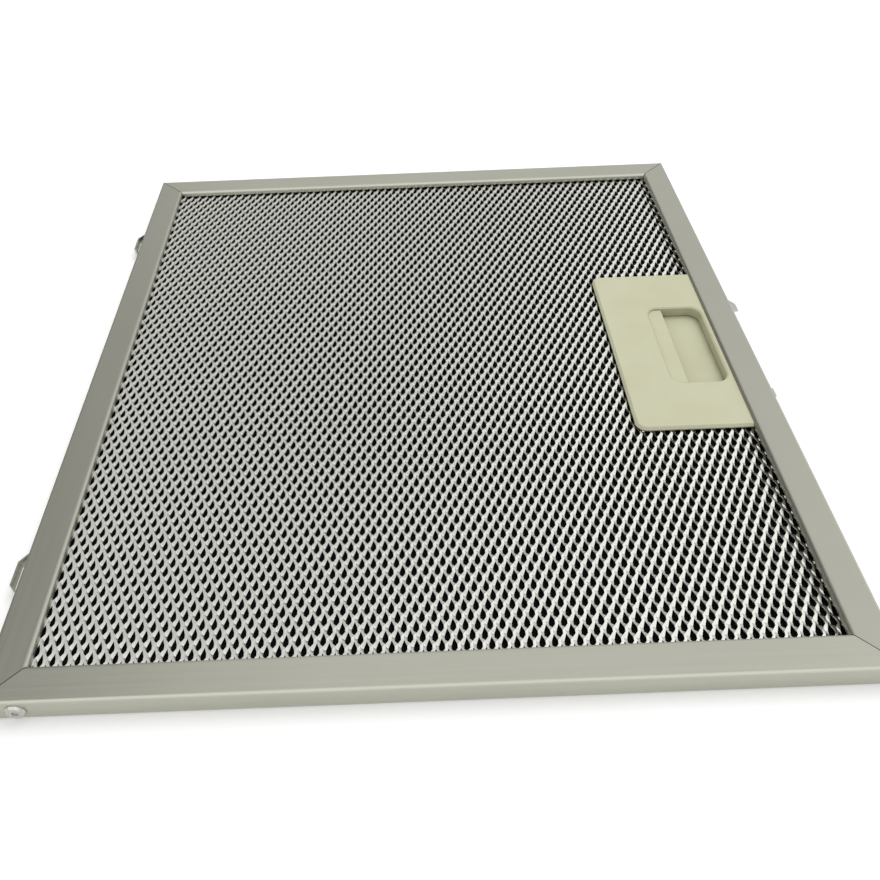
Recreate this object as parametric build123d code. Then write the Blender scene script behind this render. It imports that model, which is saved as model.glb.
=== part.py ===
from build123d import *
import os
from math import hypot

# Metal mesh filter of a cooker hood, lying on its rear face.
# X to the latch side, Y away from the viewer, Z up through the visible face.

# Frame: one folded strip of sheet, with the inside radii of its bends
width = 267.0
depth = 305.0
height = 9.0
sheet = 0.7
flange = 12.0
front_lip = 2.5
rear_lip = 1.5
corner_radius = 1.2
fold_radius = 0.3
lip_radius = 0.5
mitre_gap = 0.25

# Tab that laps behind the front web at the left corner, and its rivet
lap_length = 17.0
lap_edge_gap = 0.6
lap_gap = 0.1
rivet_inset = 10.7
rivet_diameter = 3.2
rivet_hole_gap = 0.05
rivet_head_diameter = 6.3
rivet_head_height = 1.0
rivet_tail_diameter = 4.8
rivet_tail_length = 1.8
rivet_head_chamfer = 0.6
rivet_recess_diameter = 1.9
rivet_recess_depth = 0.5

# Lanced lugs in the left web
lug_offset = 100.7
lug_length = 16.5
lug_ramp = 6.0
lug_reach = 4.5
lug_hook = 1.2
lug_height = 3.0
lug_drop = 4.0
lug_cut_gap = 0.4

# Filter stack held between the return lips
stack_margin = 4.0
mesh_thickness = 1.8
mesh_pitch_x = 26.6
mesh_pitch_y = 50.0
mesh_gap_x = 19.2
mesh_gap_y = 38.0
mesh_rim = 2.0
mesh_lean = 0.7
ridge_height = 0.9

# Handle plate and its finger window
plate_length = 43.4
plate_width = 99.4
plate_thickness = 1.3
plate_gap = 0.1
plate_corner = 4.2
plate_edge = 0.9
window_length = 22.3
window_width = 48.6
window_bridge = 1.8
window_corner = 4.8
window_edge = 0.6
collar_wall = 1.0
relief_wall = 0.7

# Opening through the stack for the latch, under the rim of the plate
cavity_seat = 2.2

# Pegs of the plate, staked over behind the rear cover
peg_diameter = 3.0
peg_hole_gap = 0.1
peg_inset = 6.0
peg_head_diameter = 5.0
peg_head_height = 0.5

# Rear cover with the runners and rails of the slide
back_inset = 1.0
back_thickness = 0.8
back_corner = 3.0
runner_height = 0.5
runner_width = 3.0
runner_offset = 18.0
rail_wall = 1.2
rail_height = 2.6

# Slide with the grip strip, and its clearances
travel = 5.0
floor_thickness = 1.0
slide_gap = 0.2
side_gap = 0.4
grip_visible = 6.4
grip_cover = 1.6
grip_drop = 0.85
grip_wall = 1.2
grip_edge = 0.5
floor_reach = 7.0
floor_edge = 1.45
ear_height = 2.4

# Bolt of bent sheet with two tongues
bolt_sheet = 0.8
bolt_bar = 7.0
bolt_bar_gap = 0.5
tongue_width = 8.7
arm_gap = 0.45
tongue_reach_far = 4.8
tongue_reach_near = 3.3
tongue_chamfer_x = 2.6
tongue_chamfer_y = 4.2
tongue_slot_gap = 0.4
stud_diameter = 3.0
stud_gap = 0.1
stud_height = 0.5

# Bowed leaf spring behind the slide, and its seat on the plate
leaf_sheet = 0.3
leaf_height = 2.4
leaf_chord = 46.0
leaf_gap = 0.05
seat_wall = 1.3
seat_width = 50.0
seat_gap = 0.3

# Levels and lines that several pieces share
top_of_rear_lip = rear_lip
bottom_of_front_lip = height - front_lip
mat_bottom = top_of_rear_lip + mesh_thickness
mat_top = bottom_of_front_lip - mesh_thickness
web_x = width / 2 - sheet
web_y = depth / 2 - sheet
opening_x = width / 2 - flange
opening_y = depth / 2 - flange
stack_x = web_x - stack_margin
stack_y = web_y - stack_margin
plate_right = opening_x - plate_gap
plate_left = plate_right - plate_length
plate_bottom = bottom_of_front_lip
plate_top = plate_bottom + plate_thickness
window_right = plate_right - window_bridge
window_left = window_right - window_length
cavity_left = plate_left + cavity_seat
cavity_width = plate_width - 2 * cavity_seat
floor_bottom = top_of_rear_lip + runner_height + slide_gap
floor_top = floor_bottom + floor_thickness
bolt_top = floor_top + bolt_sheet
grip_right = window_left + grip_visible
grip_left = window_left - grip_cover
grip_top = plate_top - grip_drop
collar_left = grip_right + slide_gap
bar_right = grip_left - bolt_bar_gap
bar_left = bar_right - bolt_bar
floor_right = window_right + floor_reach
relief_roof = plate_top - relief_wall
tongue_inner = window_width / 2 + collar_wall + arm_gap
tongue_outer = tongue_inner + tongue_width
tongue_offset = (tongue_inner + tongue_outer) / 2
slide_half_width = tongue_outer + floor_edge
rail_inner = slide_half_width + side_gap
rail_outer = rail_inner + rail_wall
peg_left = plate_left + peg_inset
peg_right = plate_right - peg_inset
peg_y = (rail_outer + cavity_width / 2) / 2
seat_left = cavity_left + seat_gap
seat_right = seat_left + seat_wall


def block(x_low, x_high, y_low, y_high, z_low, z_high):
    """Box given by its low and high corners."""
    size = Box(x_high - x_low, y_high - y_low, z_high - z_low)
    return Pos((x_low + x_high) / 2, (y_low + y_high) / 2, (z_low + z_high) / 2) * size


def rod(x, y, z_low, z_high, diameter):
    """Upright cylinder between two levels."""
    return Pos(x, y, (z_low + z_high) / 2) * Cylinder(diameter / 2, z_high - z_low)


def peg_places():
    """Plan positions of the four pegs."""
    return [(x, y) for x in (peg_left, peg_right) for y in (-peg_y, peg_y)]


def mitre_slots():
    """Slits along the four plan diagonals of the flanges, above and below."""
    length = hypot(flange, flange)
    slots = []
    for side_x in (-1, 1):
        for side_y in (-1, 1):
            x = side_x * (opening_x + flange / 2 - sheet)
            y = side_y * (opening_y + flange / 2 - sheet)
            turn = Rot(Z=45 * side_x * side_y)
            slots.append(Pos(x, y, rear_lip / 2) * turn * Box(length, mitre_gap, rear_lip))
            slots.append(Pos(x, y, height - front_lip / 2) * turn * Box(length, mitre_gap, front_lip))
    return slots


def lug(y):
    """Lanced strip of the left web: a ramp at its far end and a run that ends free."""
    outside = -width / 2
    far = y + lug_length / 2
    near = y - lug_length / 2
    top = height - lug_drop
    path = Polyline(
        (outside + sheet / 2, far),
        (outside - lug_reach + sheet / 2, far - lug_ramp),
        (outside - lug_reach + sheet / 2, near + lug_hook),
        (outside - lug_reach + sheet / 2 + lug_hook, near),
    )
    outline = trace(path, sheet)
    return Pos(0, 0, top - lug_height) * extrude(outline, lug_height)


def lug_window(y):
    """Hole that the lug leaves in the web, up to the line it is bent on."""
    far = y + lug_length / 2
    near = y - lug_length / 2 - lug_cut_gap
    top = height - lug_drop
    return block(
        -width / 2 - sheet, -web_x + sheet,
        near, far - sheet,
        top - lug_height - lug_cut_gap, top + lug_cut_gap,
    )


def channel_section():
    """Section of the strip at its left side: web, two flanges and their return lips."""
    lip_bend = lip_radius + sheet
    fold_bend = fold_radius + sheet
    line = FilletPolyline(
        (-opening_x, 0, rear_lip),
        (-opening_x, 0, 0),
        (-width / 2, 0, 0),
        (-width / 2, 0, height),
        (-opening_x, 0, height),
        (-opening_x, 0, height - front_lip),
        radius=[lip_bend, fold_bend, fold_bend, lip_bend],
    )
    return make_face(offset(line, sheet, side=Side.RIGHT))


def strip_path():
    """Path of the strip round the four sides, from the middle of the left one."""
    x = width / 2
    y = depth / 2
    return Polyline((-x, 0), (-x, y), (x, y), (x, -y), (-x, -y), (-x, 0))


def frame():
    """Folded channel strip with return lips, mitred corners, lap, lugs and bolt slots."""
    strip = sweep(channel_section(), strip_path(), transition=Transition.RIGHT)
    corners = extrude(RectangleRounded(width, depth, corner_radius), height)
    strip = strip & corners
    for slot in mitre_slots():
        strip -= slot
    # The front web ends just short of the left web, over the full height
    strip -= block(-web_x, -web_x + mitre_gap, -depth / 2, -web_y, 0, height)
    strip += block(
        -web_x - sheet / 2, -web_x + lap_length, -web_y + lap_gap, -web_y + lap_gap + sheet,
        sheet + lap_edge_gap, height - sheet - lap_edge_gap,
    )
    strip -= rivet_axis() * Cylinder(rivet_diameter / 2 + rivet_hole_gap, flange)
    for y in (-lug_offset, lug_offset):
        strip -= lug_window(y)
        strip += lug(y)
    for y in (-tongue_offset, tongue_offset):
        reach = tongue_width / 2 + tongue_slot_gap
        strip -= block(
            web_x - sheet, width / 2 + sheet, y - reach, y + reach,
            floor_top - tongue_slot_gap, bolt_top + tongue_slot_gap,
        )
    return strip


def rivet_axis():
    """Place of the rivet on the front web, its local Z pointing out of the web."""
    return Pos(-width / 2 + rivet_inset, -depth / 2, height / 2) * Rot(X=90)


def corner_rivet():
    """Blind rivet: bevelled head with a mandrel recess, shank and set tail."""
    grip = 2 * sheet + lap_gap
    tail_low = -grip - rivet_tail_length
    head = Pos(0, 0, rivet_head_height / 2) * Cylinder(rivet_head_diameter / 2, rivet_head_height)
    head = chamfer(head.edges().group_by(Axis.Z)[-1], rivet_head_chamfer)
    shank = Pos(0, 0, tail_low / 2) * Cylinder(rivet_diameter / 2, -tail_low)
    tail = Pos(0, 0, -grip - rivet_tail_length / 2)
    tail *= Cylinder(rivet_tail_diameter / 2, rivet_tail_length)
    recess = Pos(0, 0, rivet_head_height - rivet_recess_depth / 2)
    recess *= Cylinder(rivet_recess_diameter / 2, rivet_recess_depth)
    return rivet_axis() * (head + shank + tail - recess)


def latch_opening(z_low, z_high):
    """Space that one layer of the stack leaves for the latch."""
    return block(cavity_left, stack_x, -cavity_width / 2, cavity_width / 2, z_low, z_high)


def clear_of_handle(x, y):
    """True where a mesh gap leaves a rim round the latch opening."""
    beside = x + mesh_gap_x / 2 + mesh_rim < cavity_left
    past = abs(y) - mesh_gap_y / 2 - mesh_rim > cavity_width / 2
    return beside or past


def mesh_gap_places():
    """Staggered rows of gap centres that fit inside the sheet."""
    limit_x = stack_x - mesh_rim - mesh_gap_x / 2
    limit_y = stack_y - mesh_rim - mesh_gap_y / 2
    count_x = int(limit_x / mesh_pitch_x) + 1
    count_y = int(limit_y / mesh_pitch_y) + 1
    places = []
    for shift in (0, 0.5):
        for i in range(-count_x, count_x + 1):
            for j in range(-count_y, count_y + 1):
                x = (i + shift) * mesh_pitch_x
                y = (j + shift) * mesh_pitch_y
                if abs(x) <= limit_x and abs(y) <= limit_y and clear_of_handle(x, y):
                    places.append((x, y))
    return places


def ridged_sheet():
    """Sheet on its flat side: each row of strands falls to the right, up to the next row's edge."""
    pitch = mesh_pitch_x / 2
    valley = mesh_thickness - ridge_height
    crest_shift = -mesh_lean / 2
    valley_shift = mesh_lean / 2 - mesh_lean * valley / mesh_thickness
    slope = ridge_height / (pitch + valley_shift - crest_shift)
    rows = int(stack_x / pitch)
    edges = [row * pitch for row in range(-rows, rows + 1)]
    left_top = valley + slope * (edges[0] + valley_shift + stack_x)
    right_top = mesh_thickness - slope * (stack_x - edges[-1] - crest_shift)
    points = [(-stack_x, 0), (-stack_x, left_top)]
    for x in edges:
        points.append((x + valley_shift, valley))
        points.append((x + crest_shift, mesh_thickness))
    points.append((stack_x, right_top))
    points.append((stack_x, 0))
    section = Plane.XZ * make_face(Polyline(*points, close=True))
    return extrude(section, stack_y, both=True)


def expanded_mesh(sheet_blank):
    """Expanded sheet from its flat side: a blank with staggered diamond gaps that lean."""
    diamond = Polygon(
        (-mesh_gap_x / 2, 0), (0, -mesh_gap_y / 2), (mesh_gap_x / 2, 0), (0, mesh_gap_y / 2),
    )
    places = mesh_gap_places()
    outlines = Sketch() + [Pos(x + mesh_lean / 2, y) * diamond for x, y in places]
    gaps = extrude(outlines, mesh_thickness, dir=(-mesh_lean, 0, mesh_thickness))
    return sheet_blank - latch_opening(0, mesh_thickness) - gaps


def front_mesh():
    """Ridged sheet over the mat, its ridges up against the front lip."""
    return Pos(0, 0, mat_top) * expanded_mesh(ridged_sheet())


def rear_mesh():
    """Flattened sheet under the mat, on the rear lip."""
    blank = block(-stack_x, stack_x, -stack_y, stack_y, 0, mesh_thickness)
    return Pos(0, 0, mat_bottom) * mirror(expanded_mesh(blank), about=Plane.XY)


def carbon_mat():
    """Black mat between the two sheets."""
    mat = block(-stack_x, stack_x, -stack_y, stack_y, mat_bottom, mat_top)
    return mat - latch_opening(mat_bottom, mat_top)


def window_outline(grow):
    """Window outline, or one larger all round, from its left edge to its right one."""
    length = window_length + 2 * grow
    outline = RectangleRounded(length, window_width + 2 * grow, window_corner + grow)
    return Pos((window_left + window_right) / 2, 0) * outline


def handle_plate():
    """Moulded plate with a finger window, a collar round the pocket, pegs and spring seat."""
    half = plate_width / 2
    plate = block(plate_left, plate_right, -half, half, plate_bottom, plate_top)
    corners = plate.edges().filter_by(Axis.Z).group_by(Axis.X)[0]
    plate = fillet(corners, plate_corner)
    rim = plate.faces().sort_by(Axis.Z)[-1].edges()
    rim = rim.filter_by(lambda e: e.center().X < plate_right - plate_gap)
    plate = chamfer(rim, plate_edge)
    collar_bottom = floor_top + slide_gap
    collar = Pos(0, 0, collar_bottom) * extrude(window_outline(collar_wall), plate_bottom - collar_bottom)
    collar -= block(plate_left, collar_left, -half, half, collar_bottom, plate_bottom)
    plate += collar
    plate -= Pos(0, 0, collar_bottom) * extrude(window_outline(0), plate_top - collar_bottom)
    rim = plate.edges().group_by(Axis.Z)[-1]
    rim = rim.filter_by(lambda e: abs(e.center().Y) < window_width / 2 + window_edge)
    rim = rim.filter_by(lambda e: window_left - window_edge < e.center().X < window_right + window_edge)
    plate = chamfer(rim, window_edge)
    # Thinned underside over the grip
    grip_half = window_width / 2
    plate -= block(
        grip_left - travel - slide_gap, window_left + window_corner, -grip_half, grip_half,
        plate_bottom, relief_roof,
    )
    plate += block(
        seat_left, seat_right, -seat_width / 2, seat_width / 2, floor_bottom, plate_bottom,
    )
    for x, y in peg_places():
        plate += rod(x, y, top_of_rear_lip - back_thickness, plate_bottom, peg_diameter)
        head_top = top_of_rear_lip - back_thickness
        plate += rod(x, y, head_top - peg_head_height, head_top, peg_head_diameter)
    return plate


def handle_back():
    """Rear cover: a plate with runners and side rails for the slide, bored for the pegs."""
    half = plate_width / 2 - back_inset
    low = top_of_rear_lip - back_thickness
    cover = block(plate_left + back_inset, plate_right, -half, half, low, top_of_rear_lip)
    corners = cover.edges().filter_by(Axis.Z).group_by(Axis.X)[0]
    cover = fillet(corners, back_corner)
    rail_left = cavity_left + seat_gap
    for side in (-1, 1):
        y = side * (rail_inner + rail_outer) / 2
        cover += block(
            rail_left, plate_right, y - rail_wall / 2, y + rail_wall / 2,
            top_of_rear_lip, top_of_rear_lip + rail_height,
        )
        y = side * runner_offset
        cover += block(
            rail_left, plate_right, y - runner_width / 2, y + runner_width / 2,
            top_of_rear_lip, top_of_rear_lip + runner_height,
        )
    for x, y in peg_places():
        cover -= rod(x, y, low, top_of_rear_lip, peg_diameter + 2 * peg_hole_gap)
    return cover


def stud_places():
    """Plan positions of the two studs that hold the bolt on the slide."""
    x = (bar_left + bar_right) / 2
    return [(x, -tongue_offset), (x, tongue_offset)]


def latch_slider():
    """Slide: pocket floor, hollow grip strip with stop ears, and studs for the bolt."""
    slide = block(
        bar_left, floor_right, -slide_half_width, slide_half_width, floor_bottom, floor_top,
    )
    grip_half = window_width / 2 - side_gap
    ear_half = window_width / 2 + collar_wall
    grip = block(grip_left, grip_right, -grip_half, grip_half, floor_top, grip_top)
    grip = fillet(grip.edges().group_by(Axis.Z)[-1].sort_by(Axis.X)[-1], grip_edge)
    slide += grip
    slide += block(grip_left, grip_right, -ear_half, ear_half, floor_top, floor_top + ear_height)
    slide -= block(
        grip_left + grip_wall, grip_right - grip_wall, -grip_half + grip_wall, grip_half - grip_wall,
        floor_bottom, grip_top - grip_wall,
    )
    for x, y in stud_places():
        slide += rod(x, y, floor_top, bolt_top + stud_height, stud_diameter)
    return slide


def tongue(y, reach, outer_side):
    """One arm of the bolt, its tip cut back at the outer corner."""
    tip = width / 2 + reach
    inner = y - outer_side * tongue_width / 2
    outer = y + outer_side * tongue_width / 2
    outline = Polygon(
        (bar_left, inner),
        (tip, inner),
        (tip, outer - outer_side * tongue_chamfer_y),
        (tip - tongue_chamfer_x, outer),
        (bar_left, outer),
        align=None,
    )
    return Pos(0, 0, floor_top) * extrude(outline, bolt_sheet, dir=(0, 0, 1))


def latch_bolt():
    """Flat bolt: a cross bar on the slide and two tongues through the right web."""
    bolt = block(bar_left, bar_right, -tongue_offset, tongue_offset, floor_top, bolt_top)
    bolt += tongue(tongue_offset, tongue_reach_far, 1)
    bolt += tongue(-tongue_offset, tongue_reach_near, -1)
    for x, y in stud_places():
        bolt -= rod(x, y, floor_top, bolt_top, stud_diameter + 2 * stud_gap)
    return bolt


def latch_spring():
    """Bowed leaf between the seat on the plate and the slide's near edge."""
    half = leaf_chord / 2
    low_x = seat_right + leaf_gap
    high_x = bar_left - leaf_gap
    bow = ThreePointArc((low_x, -half), (high_x - leaf_sheet, 0), (low_x, half))
    outline = make_face(offset(bow, leaf_sheet, side=Side.RIGHT))
    return Pos(0, 0, floor_bottom + slide_gap) * extrude(outline, leaf_height, dir=(0, 0, 1))


os.makedirs("parts", exist_ok=True)
for make in (
    frame, corner_rivet, front_mesh, rear_mesh, carbon_mat,
    handle_plate, handle_back, latch_slider, latch_bolt, latch_spring,
):
    export_step(make(), f"parts/{make.__name__}.step")
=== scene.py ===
import math

import bmesh
import bpy
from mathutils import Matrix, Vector


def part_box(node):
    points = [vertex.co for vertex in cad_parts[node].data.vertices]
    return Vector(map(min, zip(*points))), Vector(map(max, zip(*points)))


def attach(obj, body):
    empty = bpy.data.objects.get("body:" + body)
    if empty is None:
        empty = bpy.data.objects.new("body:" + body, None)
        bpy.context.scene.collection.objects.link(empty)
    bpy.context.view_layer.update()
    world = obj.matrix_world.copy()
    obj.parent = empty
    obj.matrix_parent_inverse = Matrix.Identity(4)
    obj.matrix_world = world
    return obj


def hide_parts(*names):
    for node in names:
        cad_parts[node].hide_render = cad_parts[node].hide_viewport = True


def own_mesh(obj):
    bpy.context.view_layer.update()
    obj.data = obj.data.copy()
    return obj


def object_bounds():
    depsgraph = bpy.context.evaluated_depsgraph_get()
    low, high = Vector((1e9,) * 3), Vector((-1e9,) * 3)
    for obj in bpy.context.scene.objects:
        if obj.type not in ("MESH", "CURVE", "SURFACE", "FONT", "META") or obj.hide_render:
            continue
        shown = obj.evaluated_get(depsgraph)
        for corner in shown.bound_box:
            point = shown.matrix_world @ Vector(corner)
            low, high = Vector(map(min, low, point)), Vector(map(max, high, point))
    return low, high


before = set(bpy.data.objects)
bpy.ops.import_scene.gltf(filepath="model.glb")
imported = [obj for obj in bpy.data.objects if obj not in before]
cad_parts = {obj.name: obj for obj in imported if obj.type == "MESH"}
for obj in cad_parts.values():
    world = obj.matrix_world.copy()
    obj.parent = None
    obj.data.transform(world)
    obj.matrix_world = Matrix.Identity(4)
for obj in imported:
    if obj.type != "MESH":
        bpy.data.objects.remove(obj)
cad_low, cad_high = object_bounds()

# Lengths below are in metres, written as millimetres times MM
MM = 0.001

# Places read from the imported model
front_low, front_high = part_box("front_mesh")
rear_low, rear_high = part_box("rear_mesh")
plate_low, plate_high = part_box("handle_plate")
rim_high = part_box("frame")[1]

# Expanded sheet: pitch and width of the strands in plan, their fall across, and sheet thickness
strand_pitch = 1.875 * MM
strand_plan = 0.96 * MM
strand_fall = 0.36 * MM
strand_sheet = 0.36 * MM
# Length of a mesh, half lengths of a bond along its joined and its free edges, and the free edges' shift
mesh_length = 7.06 * MM
joined_half = 1.1 * MM
free_half = 0.6 * MM
free_shift = 0.7 * MM
# Rise of a bond's far end and drop of its near end
bond_tilt = 0.08 * MM
# Dent beside each joint, on the strand that drops: share of the strand's width, place and depth
dent_across = 0.76
dent_along = 0.3 * MM
dent_depth = 0.34 * MM
# How far the sheets reach under the plate, and the turn up to which a fold is shaded smooth
plate_cover = 2.6 * MM
smooth_angle = math.radians(20)
# Steps in a metre by which points count as the same place
weld_steps = 1e7

# Rolled strip: spread of light across its grain, share of the streaks in its tone, and its bump
rolled_spread = 0.75
streak_share = 0.6
rolled_bump = 0.03
rolled_depth = 0.05 * MM

# Moulded plastic: softness of its edges, how far and how much painted shade darkens its hollows, samples,
# and its bump
moulded_edge = 0.4 * MM
hollow_shade_reach = 9.0 * MM
hollow_shade_share = 0.62
edge_samples = 6
hollow_shade_samples = 8
plastic_bump = 0.12
plastic_depth = 0.03 * MM

# Mat of carbon: bump of its grains
carbon_bump = 0.8
carbon_depth = 0.4 * MM

# Noise in the materials: waves per metre, the part of its range that is used, and its detail
streak_long = 9
streak_fine = 900
mark_scale = 35
grain_long = 500
grain_fine = 1500
rivet_scale = 900
cloud_scale = 45
texture_scale = 2600
carbon_scale = 900
brushing_long = 60
brushing_fine = 2400
noise_low = 0.3
noise_high = 0.7
fine_detail = 4.0
soft_detail = 2.0

# Camera of the photograph: place, turn in degrees, focal length and shift
camera_place = Vector((-5.21, -280.11, 232.54)) * MM
camera_turn = (45.559, 1.640, -1.558)
camera_lens = 35.59
camera_shift_x = 0.0312
camera_clip = 10 * MM

# Light of the room: level on matt surfaces, and what metal mirrors from behind and from the lit sides
ambient_level = 0.62
back_level = 0.88
bright_level = 1.5
# Directions in which the mirrored room changes, as shares of a unit length, and its dim shares
left_share = 0.2
left_dark = -0.46
left_clear = -0.16
front_start = 0.36
front_full = -0.1
right_start = 0.44
right_full = 0.68
low_share = 0.45
low_end = 0.08
low_start = 0.22

# Floor: half size, colour, glow near the object and away from it, and where it fades
floor_half = 4.0
floor_colour = 0.88
floor_glow = 0.26
far_glow = 0.6
fade_start = 0.35
fade_end = 1.0

# Lamp: place, size and power
key_place = Vector((0.5, 0.5, 1.4))
key_size = 1.2
key_power = 11.0


def srgb(red, green, blue):
    """Linear colour of an 8-bit screen colour."""
    values = []
    for channel in (red, green, blue):
        c = channel / 255
        values.append(c / 12.92 if c <= 0.04045 else ((c + 0.055) / 1.055) ** 2.4)
    return (*values, 1.0)


def add_node(tree, kind, **settings):
    """New shader node with its properties set."""
    node = tree.nodes.new(kind)
    for name, value in settings.items():
        setattr(node, name, value)
    return node


def new_material(name, metallic, roughness=0.5):
    """Principled material, its node tree and its shader."""
    material = bpy.data.materials.new(name)
    material.use_nodes = True
    shader = material.node_tree.nodes["Principled BSDF"]
    shader.inputs["Metallic"].default_value = metallic
    shader.inputs["Roughness"].default_value = roughness
    return material, material.node_tree, shader


def place_of(tree):
    """Socket with the point's place on the object, in metres."""
    return add_node(tree, "ShaderNodeTexCoord").outputs["Object"]


def stretched_noise(tree, place, scale, detail=fine_detail):
    """Noise with its own scale along each axis, as waves per metre."""
    mapping = add_node(tree, "ShaderNodeMapping")
    mapping.inputs["Scale"].default_value = scale
    tree.links.new(place, mapping.inputs["Vector"])
    noise = add_node(tree, "ShaderNodeTexNoise")
    noise.inputs["Scale"].default_value = 1.0
    noise.inputs["Detail"].default_value = detail
    tree.links.new(mapping.outputs["Vector"], noise.inputs["Vector"])
    return noise.outputs["Fac"]


def even_noise(tree, place, scale, detail=fine_detail):
    """Noise with the same scale along every axis."""
    return stretched_noise(tree, place, (scale, scale, scale), detail)


def spread(tree, value, low, high):
    """A noise value spread between two numbers."""
    node = add_node(tree, "ShaderNodeMapRange")
    node.inputs["From Min"].default_value = noise_low
    node.inputs["From Max"].default_value = noise_high
    node.inputs["To Min"].default_value = low
    node.inputs["To Max"].default_value = high
    tree.links.new(value, node.inputs["Value"])
    return node.outputs["Result"]


def ramp_colour(tree, value, dark, light):
    """Colour between two ends, by a value."""
    node = add_node(tree, "ShaderNodeMix", data_type="RGBA")
    colours = [s for s in node.inputs if s.type == "RGBA"]
    colours[0].default_value = dark
    colours[1].default_value = light
    tree.links.new(value, node.inputs["Factor"])
    return [s for s in node.outputs if s.type == "RGBA"][0]


def finish_by(tree, shader, value, dark, light, smooth, rough):
    """Colour and roughness that follow one noise value."""
    tone = spread(tree, value, 0.0, 1.0)
    tree.links.new(ramp_colour(tree, tone, dark, light), shader.inputs["Base Color"])
    tree.links.new(spread(tree, value, smooth, rough), shader.inputs["Roughness"])


def maths(tree, operation, *values):
    """Math node on sockets or numbers."""
    node = add_node(tree, "ShaderNodeMath", operation=operation)
    for index, value in enumerate(values):
        if isinstance(value, (int, float)):
            node.inputs[index].default_value = value
        else:
            tree.links.new(value, node.inputs[index])
    return node.outputs["Value"]


def add_bump(tree, shader, height, strength, distance, normal=None):
    """Bump from a height socket, on the surface's own normal or on a given one."""
    node = add_node(tree, "ShaderNodeBump")
    if normal is not None:
        tree.links.new(normal, node.inputs["Normal"])
    node.inputs["Strength"].default_value = strength
    node.inputs["Distance"].default_value = distance
    tree.links.new(height, node.inputs["Height"])
    tree.links.new(node.outputs["Normal"], shader.inputs["Normal"])


def soft_edges(tree, radius):
    """Normal that turns softly round the edges, as on a moulding."""
    node = add_node(tree, "ShaderNodeBevel", samples=edge_samples)
    node.inputs["Radius"].default_value = radius
    return node.outputs["Normal"]


def painted_hollow_shade(tree, colour, reach, share):
    """Colour with painted shade: it falls to a share of itself where walls close in."""
    hollows = add_node(tree, "ShaderNodeAmbientOcclusion", samples=hollow_shade_samples)
    hollows.inputs["Distance"].default_value = reach
    level = maths(tree, "MULTIPLY_ADD", hollows.outputs["AO"], 1.0 - share, share)
    node = add_node(tree, "ShaderNodeVectorMath", operation="SCALE")
    tree.links.new(colour, node.inputs["Vector"])
    tree.links.new(level, node.inputs["Scale"])
    return node.outputs["Vector"]


def along_side(tree, place):
    """1 on the left and right sides of the rim, 0 on the front and back ones."""
    parts = add_node(tree, "ShaderNodeSeparateXYZ")
    tree.links.new(place, parts.inputs["Vector"])
    past_x = maths(tree, "SUBTRACT", maths(tree, "ABSOLUTE", parts.outputs["X"]), rim_high.x)
    past_y = maths(tree, "SUBTRACT", maths(tree, "ABSOLUTE", parts.outputs["Y"]), rim_high.y)
    return maths(tree, "GREATER_THAN", past_x, past_y)


def across_side(tree, lengthwise):
    """Direction across each side of the rim, in which its rolled grain spreads the light."""
    direction = add_node(tree, "ShaderNodeCombineXYZ")
    tree.links.new(lengthwise, direction.inputs["X"])
    tree.links.new(maths(tree, "SUBTRACT", 1.0, lengthwise), direction.inputs["Y"])
    return direction.outputs["Vector"]


def mix_values(tree, factor, first, second):
    """Blend of two value sockets."""
    node = add_node(tree, "ShaderNodeMix", data_type="FLOAT")
    tree.links.new(factor, node.inputs[0])
    tree.links.new(first, node.inputs[2])
    tree.links.new(second, node.inputs[3])
    return node.outputs[0]


def rolled_aluminium():
    """Satin strip with rolling streaks along each side and faint handling marks."""
    material, tree, shader = new_material("rolled_aluminium", 1.0)
    place = place_of(tree)
    along_x = stretched_noise(tree, place, (streak_long, streak_fine, streak_fine))
    along_y = stretched_noise(tree, place, (streak_fine, streak_long, streak_fine))
    lengthwise = along_side(tree, place)
    streaks = mix_values(tree, lengthwise, along_x, along_y)
    marks = even_noise(tree, place, mark_scale)
    streak_part = maths(tree, "MULTIPLY", streaks, streak_share)
    mark_part = maths(tree, "MULTIPLY", marks, 1.0 - streak_share)
    tone = spread(tree, maths(tree, "ADD", streak_part, mark_part), 0.0, 1.0)
    dark = srgb(181, 181, 168)
    light = srgb(187, 187, 175)
    tree.links.new(ramp_colour(tree, tone, dark, light), shader.inputs["Base Color"])
    tree.links.new(spread(tree, streaks, 0.37, 0.43), shader.inputs["Roughness"])
    add_bump(tree, shader, streaks, rolled_bump, rolled_depth)
    shader.inputs["Anisotropic"].default_value = rolled_spread
    tree.links.new(across_side(tree, lengthwise), shader.inputs["Tangent"])
    return material


def bright_aluminium():
    """Bright sheet of the expanded mesh, with faint roller marks."""
    material, tree, shader = new_material("bright_aluminium", 1.0)
    grain = stretched_noise(tree, place_of(tree), (grain_fine, grain_long, grain_fine))
    finish_by(tree, shader, grain, srgb(196, 196, 190), srgb(210, 210, 204), 0.16, 0.26)
    return material


def rivet_aluminium():
    """Drawn aluminium of the rivet."""
    material, tree, shader = new_material("rivet_aluminium", 1.0)
    grain = even_noise(tree, place_of(tree), rivet_scale)
    finish_by(tree, shader, grain, srgb(176, 176, 170), srgb(200, 200, 194), 0.24, 0.36)
    return material


def beige_plastic():
    """Moulded plastic with soft mottling, painted shade in its hollows, and a fine eroded texture."""
    material, tree, shader = new_material("beige_plastic", 0.0)
    place = place_of(tree)
    cloud = even_noise(tree, place, cloud_scale, soft_detail)
    dark = srgb(201, 199, 168)
    light = srgb(206, 207, 178)
    colour = ramp_colour(tree, spread(tree, cloud, 0.0, 1.0), dark, light)
    # Painted shade: the plastic's colour is darkened in hollows and recesses, where shade falls
    tree.links.new(painted_hollow_shade(tree, colour, hollow_shade_reach, hollow_shade_share), shader.inputs["Base Color"])
    texture = even_noise(tree, place, texture_scale, soft_detail)
    tree.links.new(spread(tree, texture, 0.46, 0.58), shader.inputs["Roughness"])
    add_bump(tree, shader, texture, plastic_bump, plastic_depth, soft_edges(tree, moulded_edge))
    return material


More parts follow.
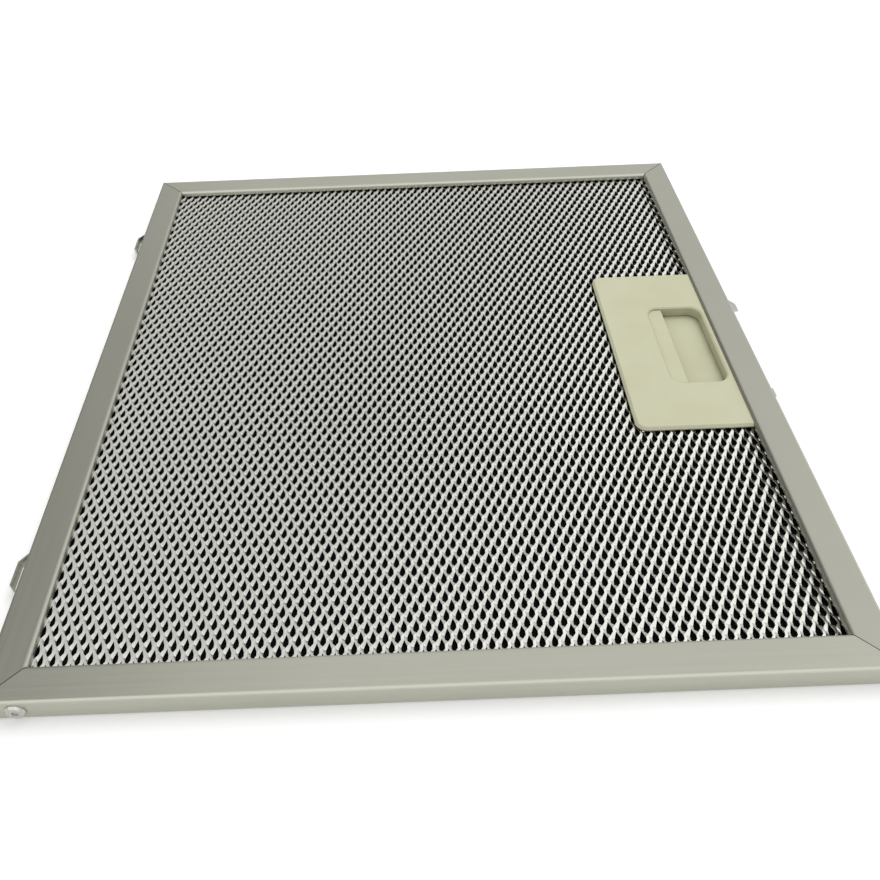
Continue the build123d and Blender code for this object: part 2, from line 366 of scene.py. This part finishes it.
def black_carbon():
    """Matt black mat with a granular surface."""
    material, tree, shader = new_material("black_carbon", 0.0, 0.95)
    shader.inputs["Specular IOR Level"].default_value = 0.1
    place = place_of(tree)
    grains = add_node(tree, "ShaderNodeTexVoronoi")
    grains.inputs["Scale"].default_value = carbon_scale
    tree.links.new(place, grains.inputs["Vector"])
    height = grains.outputs["Distance"]
    dark = (0.002, 0.002, 0.002, 1.0)
    light = (0.009, 0.009, 0.008, 1.0)
    tree.links.new(ramp_colour(tree, height, dark, light), shader.inputs["Base Color"])
    add_bump(tree, shader, height, carbon_bump, carbon_depth)
    return material


def plated_steel(name, dark, light):
    """Plated sheet steel with fine lengthwise brushing."""
    material, tree, shader = new_material(name, 1.0)
    brushing = stretched_noise(tree, place_of(tree), (brushing_long, brushing_fine, brushing_fine))
    finish_by(tree, shader, brushing, dark, light, 0.28, 0.42)
    return material


def dress(node, material):
    """Gives a CAD node its material."""
    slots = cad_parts[node].data.materials
    if len(slots) == 0:
        slots.append(material)
    for index in range(len(slots)):
        slots[index] = material


class Lattice:
    """Welded mesh in the making: points joined by place, faces shared by two strands left out."""

    def __init__(self):
        self.points = []
        self.index = {}
        self.faces = {}

    def point(self, x, y, z):
        key = (round(x * weld_steps), round(y * weld_steps), round(z * weld_steps))
        if key not in self.index:
            self.index[key] = len(self.points)
            self.points.append((x, y, z))
        return self.index[key]

    def face(self, corners):
        key = frozenset(corners)
        if key in self.faces:
            del self.faces[key]
        else:
            self.faces[key] = corners


def strand_runs(covered):
    """Stretches of bond numbers that are left when the covered ones are taken out."""
    runs = []
    start = None
    for i, hidden in enumerate(covered):
        if hidden:
            if start is not None and i - start > 1:
                runs.append((start, i - 1))
            start = None
        elif start is None:
            start = i
    if start is not None:
        runs.append((start, len(covered) - 1))
    return runs


def expanded_sheet(name, low, high, facing, dented):
    """Expanded sheet of leaning strands, open under the handle. facing is 1 for up, -1 for down."""
    strands = round((high.x - low.x) / strand_pitch)
    pitch = (high.x - low.x) / strands
    meshes = round((high.y - low.y) / mesh_length)
    half_mesh = (high.y - low.y) / meshes / 2
    bonds = 2 * meshes + 1
    lean = math.atan2(strand_fall, strand_plan)
    half_sheet = strand_sheet / 2
    face_z = high.z if facing > 0 else low.z
    middle = face_z - facing * (strand_fall + half_sheet * math.cos(lean) + bond_tilt)
    notch_x = plate_low.x + plate_cover
    notch_y = plate_high.y - plate_cover
    lattice = Lattice()

    def corner(strand, across, wave, y, side, tilt):
        """Point of a strand: across its width, down its wave, on its top or bottom, tilted by a share."""
        x = high.x - strand * pitch - across * strand_plan - wave * (pitch - strand_plan)
        z = (across - wave) * strand_fall + tilt * bond_tilt
        x += side * half_sheet * math.sin(lean)
        z += side * half_sheet * math.cos(lean)
        return lattice.point(x, min(max(y, low.y), high.y), middle + facing * z)

    def section(strand, wave, y, end):
        """Four corners of a strand where its bond starts or ends: top edges, then bottom edges."""
        corners = []
        for side in (1, -1):
            for across in (0, 1):
                if across == wave:
                    edge_y = y + end * joined_half
                else:
                    edge_y = y + end * free_half - free_shift
                corners.append(corner(strand, across, wave, edge_y, side, end))
        return corners

    def covered(strand, bond):
        """Whether a bond lies in the opening under the handle."""
        return high.x - (strand + 1) * pitch > notch_x and abs(low.y + bond * half_mesh) < notch_y

    for strand in range(strands):
        for first, last in strand_runs([covered(strand, bond) for bond in range(bonds)]):
            previous = None
            for i in range(first, last + 1):
                wave = (i + strand) % 2
                y = low.y + i * half_mesh
                start = section(strand, wave, y, -1)
                end = section(strand, wave, y, 1)
                if previous is None:
                    lattice.face([start[0], start[1], start[3], start[2]])
                else:
                    add_length(lattice, previous, start)
                pit = None
                if dented and wave == 1 and low.y + joined_half < y < high.y - joined_half:
                    side = 1 - 2 * dent_depth / strand_sheet
                    tilt = dent_along / joined_half
                    pit = corner(strand, dent_across, wave, y + dent_along, side, tilt)
                add_length(lattice, start, end, pit)
                previous = end
            lattice.face([previous[0], previous[1], previous[3], previous[2]])
    return lattice_object(name, lattice)


def add_length(lattice, start, end, pit=None):
    """Four sides of a strand between two sections, its top drawn down to a pit where there is one."""
    top = [start[0], start[1], end[1], end[0]]
    if pit is None:
        lattice.face(top)
    else:
        for k in range(4):
            lattice.face([top[k], top[(k + 1) % 4], pit])
    lattice.face([start[2], start[3], end[3], end[2]])
    lattice.face([start[0], end[0], end[2], start[2]])
    lattice.face([start[1], end[1], end[3], start[3]])


def lattice_object(name, lattice):
    """Object of a lattice, with outward faces and crisp folds."""
    mesh = bpy.data.meshes.new(name)
    mesh.from_pydata(lattice.points, [], list(lattice.faces.values()))
    shape = bmesh.new()
    shape.from_mesh(mesh)
    bmesh.ops.recalc_face_normals(shape, faces=shape.faces)
    shape.to_mesh(mesh)
    shape.free()
    mesh.shade_smooth()
    mesh.set_sharp_from_angle(angle=smooth_angle)
    piece = bpy.data.objects.new(name, mesh)
    bpy.context.scene.collection.objects.link(piece)
    return piece


def add_sheet(node, low, high, facing, dented, material):
    """Expanded sheet in the place of a CAD sheet."""
    piece = expanded_sheet("expanded_" + node, low, high, facing, dented)
    piece.data.materials.append(material)
    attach(piece, "filter")
    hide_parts(node)


def add_spring(material):
    """Leaf spring in its CAD shape, which it keeps; it doesn't flatten against its seat as the latch is
    drawn back.
    """
    piece = bpy.data.objects.new("leaf_spring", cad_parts["latch_spring"].data.copy())
    bpy.context.scene.collection.objects.link(piece)
    piece.data.materials.clear()
    piece.data.materials.append(material)
    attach(piece, "filter")
    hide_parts("latch_spring")
    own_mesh(piece)


def add_floor():
    """Pale floor that keeps the shadow near the object and fades to white away from it."""
    mesh = bpy.data.meshes.new("floor")
    corners = [(-1, -1), (1, -1), (1, 1), (-1, 1)]
    mesh.from_pydata([(x * floor_half, y * floor_half, cad_low.z) for x, y in corners], [], [(0, 1, 2, 3)])
    floor = bpy.data.objects.new("floor", mesh)
    bpy.context.scene.collection.objects.link(floor)
    material, tree, shader = new_material("floor_paper", 0.0, 0.9)
    shader.inputs["Base Color"].default_value = (floor_colour, floor_colour, floor_colour, 1.0)
    shader.inputs["Specular IOR Level"].default_value = 0.0
    shader.inputs["Emission Color"].default_value = (1.0, 1.0, 1.0, 1.0)
    distance = add_node(tree, "ShaderNodeVectorMath", operation="LENGTH")
    tree.links.new(place_of(tree), distance.inputs[0])
    away = eased(tree, distance.outputs["Value"], fade_start, fade_end)
    glow = maths(tree, "MULTIPLY_ADD", away, far_glow - floor_glow, floor_glow)
    tree.links.new(maths(tree, "MULTIPLY", seen_directly(tree), glow), shader.inputs["Emission Strength"])
    mesh.materials.append(material)


def seen_directly(tree):
    """1 for rays from the camera, from metal and through glass."""
    path = add_node(tree, "ShaderNodeLightPath")
    shown = maths(tree, "MAXIMUM", path.outputs["Is Camera Ray"], path.outputs["Is Glossy Ray"])
    return maths(tree, "MAXIMUM", shown, path.outputs["Is Transmission Ray"])


def eased(tree, value, start, end):
    """0 at the start, 1 at the end, with a soft rise between."""
    node = add_node(tree, "ShaderNodeMapRange", interpolation_type="SMOOTHSTEP")
    low, high = min(start, end), max(start, end)
    node.inputs["From Min"].default_value = low
    node.inputs["From Max"].default_value = high
    node.inputs["To Min"].default_value = 0.0 if start < end else 1.0
    node.inputs["To Max"].default_value = 1.0 if start < end else 0.0
    tree.links.new(value, node.inputs["Value"])
    return node.outputs["Result"]


def mirrored_room(tree):
    """Level that metal mirrors: bright in front and to the right, grey behind, dim to the left and low."""
    place = add_node(tree, "ShaderNodeTexCoord")
    direction = add_node(tree, "ShaderNodeSeparateXYZ")
    tree.links.new(place.outputs["Generated"], direction.inputs["Vector"])
    front = eased(tree, direction.outputs["Y"], front_start, front_full)
    right = eased(tree, direction.outputs["X"], right_start, right_full)
    lit = maths(tree, "MAXIMUM", front, right)
    from_left = eased(tree, direction.outputs["X"], left_dark, left_clear)
    dimmed = maths(tree, "MULTIPLY_ADD", from_left, 1.0 - left_share, left_share)
    behind = maths(tree, "MULTIPLY", dimmed, back_level)
    shadow = maths(tree, "MULTIPLY", behind, maths(tree, "SUBTRACT", 1.0, lit))
    level = maths(tree, "ADD", shadow, maths(tree, "MULTIPLY", lit, bright_level))
    rise = eased(tree, direction.outputs["Z"], low_end, low_start)
    return maths(tree, "MULTIPLY", level, maths(tree, "MULTIPLY_ADD", rise, 1.0 - low_share, low_share))


def add_room():
    """World: white to the camera, a room with brighter sides in metal, even light elsewhere."""
    world = bpy.data.worlds.new("room")
    bpy.context.scene.world = world
    world.use_nodes = True
    tree = world.node_tree
    background = tree.nodes["Background"]
    path = add_node(tree, "ShaderNodeLightPath")
    metal = maths(tree, "MAXIMUM", path.outputs["Is Glossy Ray"], path.outputs["Is Transmission Ray"])
    in_metal = maths(tree, "MULTIPLY", metal, mirrored_room(tree))
    elsewhere = maths(tree, "MULTIPLY", maths(tree, "SUBTRACT", 1.0, metal), ambient_level)
    level = maths(tree, "ADD", in_metal, elsewhere)
    shown = maths(tree, "MAXIMUM", level, path.outputs["Is Camera Ray"])
    tree.links.new(shown, background.inputs["Strength"])
    background.inputs["Color"].default_value = (1.0, 1.0, 1.0, 1.0)


def add_key():
    """Large soft lamp behind and above, aimed at the object, which metal doesn't mirror."""
    lamp = bpy.data.lights.new("key", "AREA")
    lamp.shape = "DISK"
    lamp.size = key_size
    lamp.energy = key_power
    key = bpy.data.objects.new("key", lamp)
    key.location = key_place
    key.rotation_euler = (-key_place).to_track_quat("-Z", "Y").to_euler()
    key.visible_glossy = False
    bpy.context.scene.collection.objects.link(key)


def add_camera():
    """Camera at the photograph's place."""
    data = bpy.data.cameras.new("camera")
    data.lens = camera_lens
    data.shift_x = camera_shift_x
    data.clip_start = camera_clip
    camera = bpy.data.objects.new("camera", data)
    camera.location = camera_place
    camera.rotation_euler = [math.radians(angle) for angle in camera_turn]
    bpy.context.scene.collection.objects.link(camera)
    bpy.context.scene.camera = camera


# CAD nodes that keep their shape
plastic = beige_plastic()
dress("frame", rolled_aluminium())
dress("corner_rivet", rivet_aluminium())
dress("carbon_mat", black_carbon())
dress("handle_plate", plastic)
dress("handle_back", plastic)
dress("latch_slider", plastic)
dress("latch_bolt", plated_steel("bolt_steel", srgb(180, 181, 176), srgb(205, 205, 202)))

# Spring under the handle
add_spring(plated_steel("spring_steel", srgb(150, 150, 150), srgb(180, 180, 180)))

# Expanded sheets on both sides of the mat
bright = bright_aluminium()
add_sheet("front_mesh", front_low, front_high, 1, True, bright)
add_sheet("rear_mesh", rear_low, rear_high, -1, False, bright)

# Room
add_floor()
add_room()
add_key()
add_camera()
bpy.context.scene.view_settings.view_transform = "Standard"
